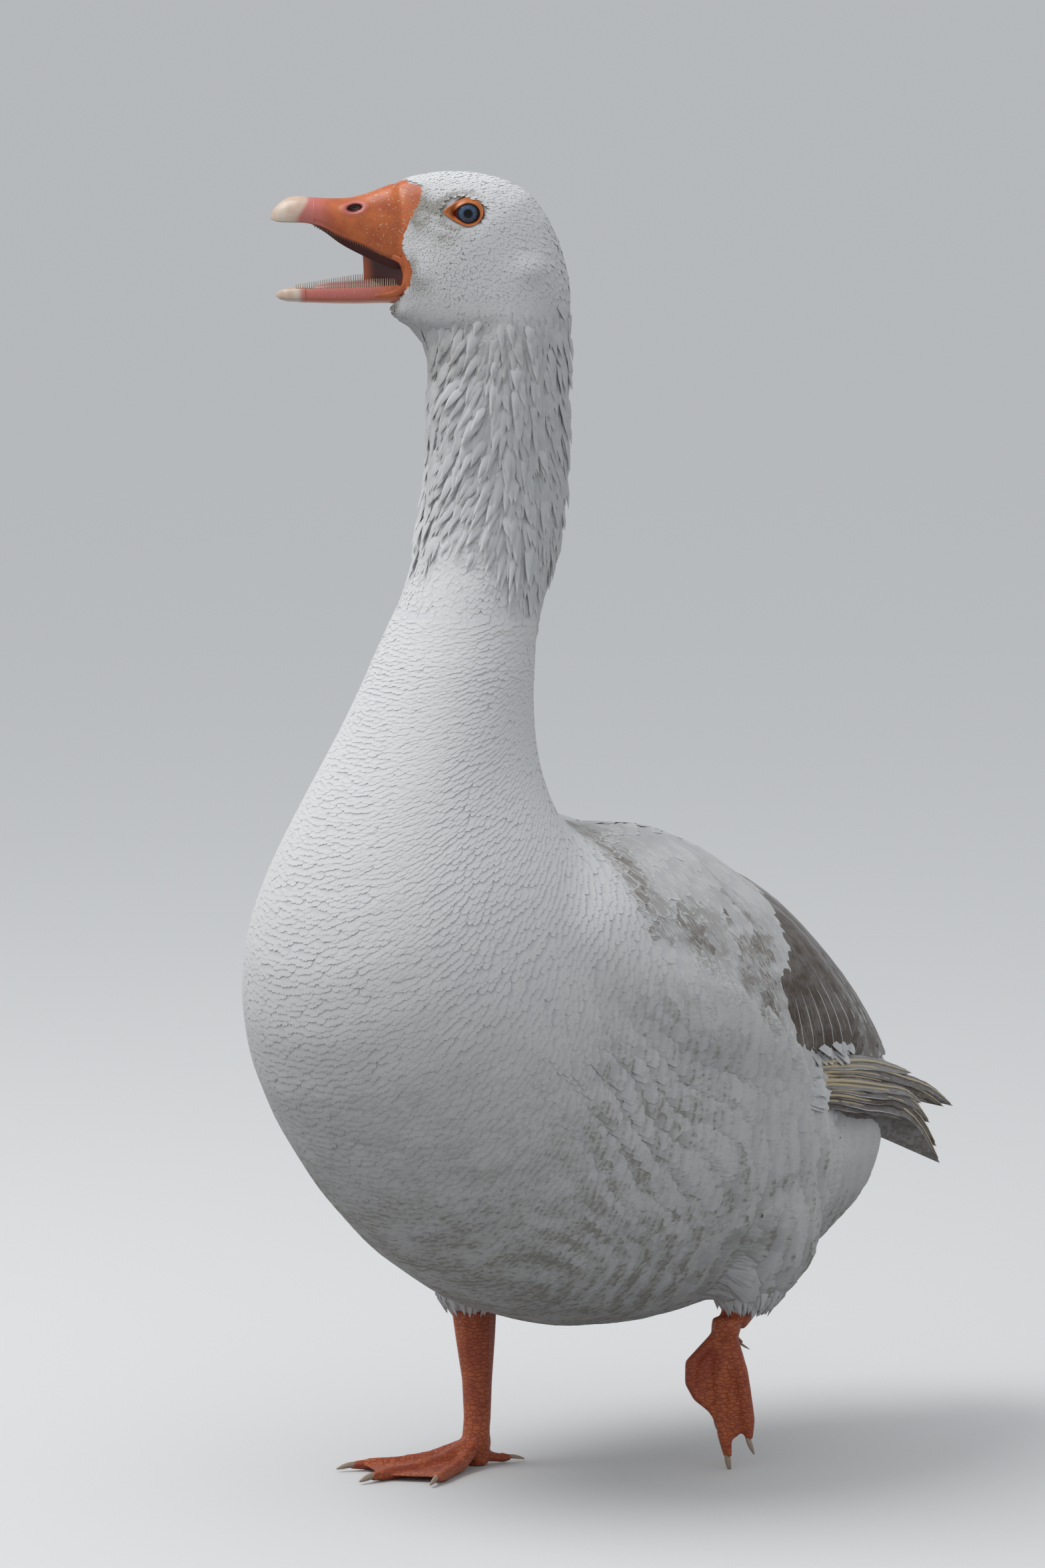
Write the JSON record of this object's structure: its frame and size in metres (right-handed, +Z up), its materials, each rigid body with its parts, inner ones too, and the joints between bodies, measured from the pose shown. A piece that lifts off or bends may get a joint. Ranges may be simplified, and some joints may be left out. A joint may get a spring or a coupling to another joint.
{
  "type": "domestic goose, still life-size model",
  "caption": "White farm goose with grey-brown wing marks, standing alert with its neck up, head turned and bill open, one foot drawn up.",
  "frame": {"origin": "on the floor, under the middle of the whole bird's box", "axes": "+Z up; the goose faces -Y, so +Y runs to its tail; +X is its left side"},
  "size_m": [0.2654, 0.5183, 0.7856],
  "materials": {
    "plumage": "soft white contour feathers, faintly soiled below",
    "flight": "grey-brown flight feathers with pale shafts and fringes",
    "bill": "smooth horny skin, orange",
    "nail": "smooth pale horn",
    "tongue": "moist pink flesh",
    "leg": "scaled orange-red skin",
    "claw": "worn horn",
    "eye": "wet, blue-grey iris round a black pupil"
  },
  "bodies": {
    "root": {"head": "plumage", "neck_upper": "plumage", "neck_middle": "plumage", "neck_lower": "plumage", "breast": "plumage", "trunk": "plumage", "rump": "plumage", "thigh_left": "plumage", "thigh_right": "plumage", "wing_left": "flight", "wing_right": "flight", "inner_feathers_left": "flight", "inner_feathers_right": "flight", "primaries_upper_left": "flight", "primaries_upper_right": "flight", "primaries_lower_left": "flight", "primaries_lower_right": "flight", "tail": "flight", "bill_upper": "bill", "bill_lower": "bill", "bill_upper_nail": "nail", "bill_lower_nail": "nail", "tongue": "tongue", "eye_left": "eye", "eye_right": "eye", "shank_left": "leg", "shank_right": "leg", "foot_left": "leg", "foot_right": "leg", "claw_inner_left": "claw", "claw_middle_left": "claw", "claw_outer_left": "claw", "claw_hind_left": "claw", "claw_inner_right": "claw", "claw_middle_right": "claw", "claw_outer_right": "claw", "claw_hind_right": "claw"}
  },
  "joints": []
}
